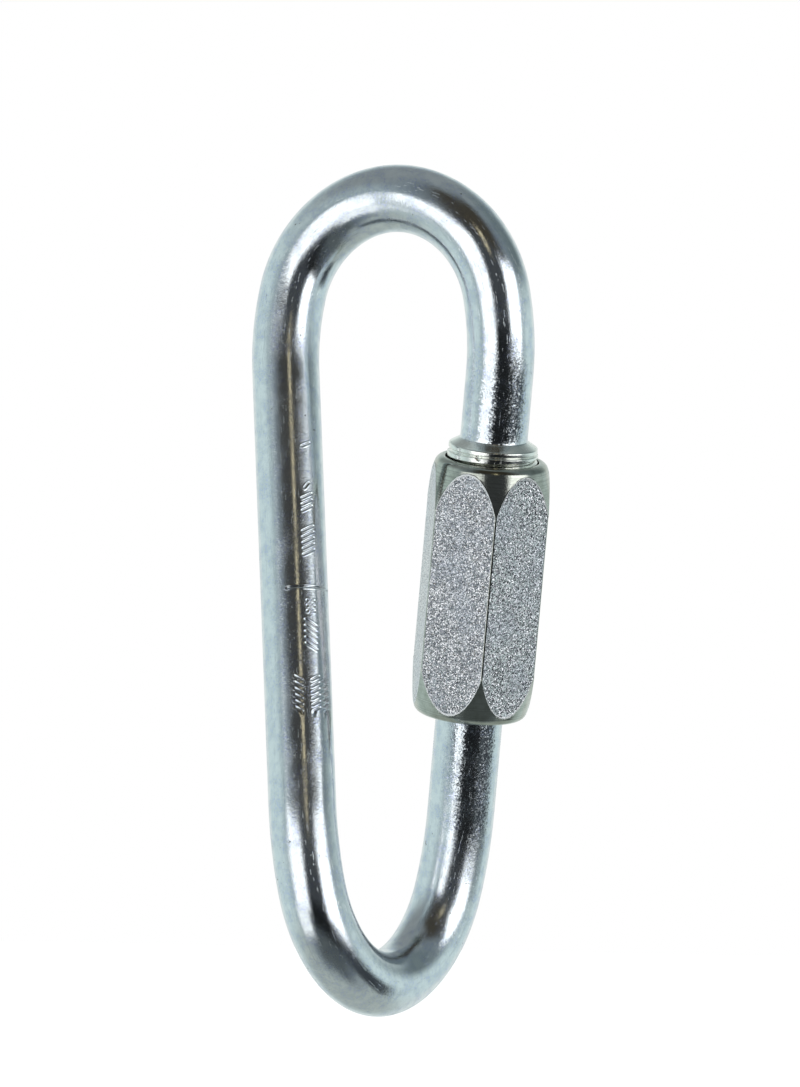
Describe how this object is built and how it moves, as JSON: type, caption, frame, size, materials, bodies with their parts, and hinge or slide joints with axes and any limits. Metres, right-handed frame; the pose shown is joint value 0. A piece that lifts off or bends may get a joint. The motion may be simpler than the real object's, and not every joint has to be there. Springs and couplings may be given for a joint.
{
  "type": "twisted screw quick link",
  "caption": "Round steel bar bent into a long loop with a quarter-turn twist, closed on one leg by a long hexagonal sleeve nut.",
  "frame": {"origin": "seat inside the upper bow, on the inner face of the bar at the bow's crown", "axes": "+Z along the link's length, out over the upper bow; +X towards the leg that carries the nut; the upper bow lies between +X and -Y, the lower between +X and +Y"},
  "size_m": [0.0427, 0.0292, 0.1265],
  "materials": {
    "link_steel": "bright zinc plate",
    "thread_steel": "machined, zinc plated",
    "nut_steel": "zinc plate, matt grained flats and turned ends"
  },
  "bodies": {
    "link": {"link_body": "link_steel"},
    "nut_carrier": {"nut_thread": "thread_steel"},
    "nut": {"nut": "nut_steel"}
  },
  "joints": [
    {"name": "nut_travel", "type": "slide", "parent": "link", "child": "nut_carrier", "axis": [0, 0.2384, -0.9712], "range_m": [0, 0.0225]},
    {"name": "nut_turn", "type": "hinge", "parent": "nut_carrier", "child": "nut", "pos_m": [0.0143, -0.00024, -0.05228], "axis": [0, 0.2384, -0.9712], "range_deg": [0, 5400]}
  ],
  "couplings": [
    {"joint": "nut_travel", "follows": "nut_turn", "m_per_rad": 0.00023873}
  ]
}
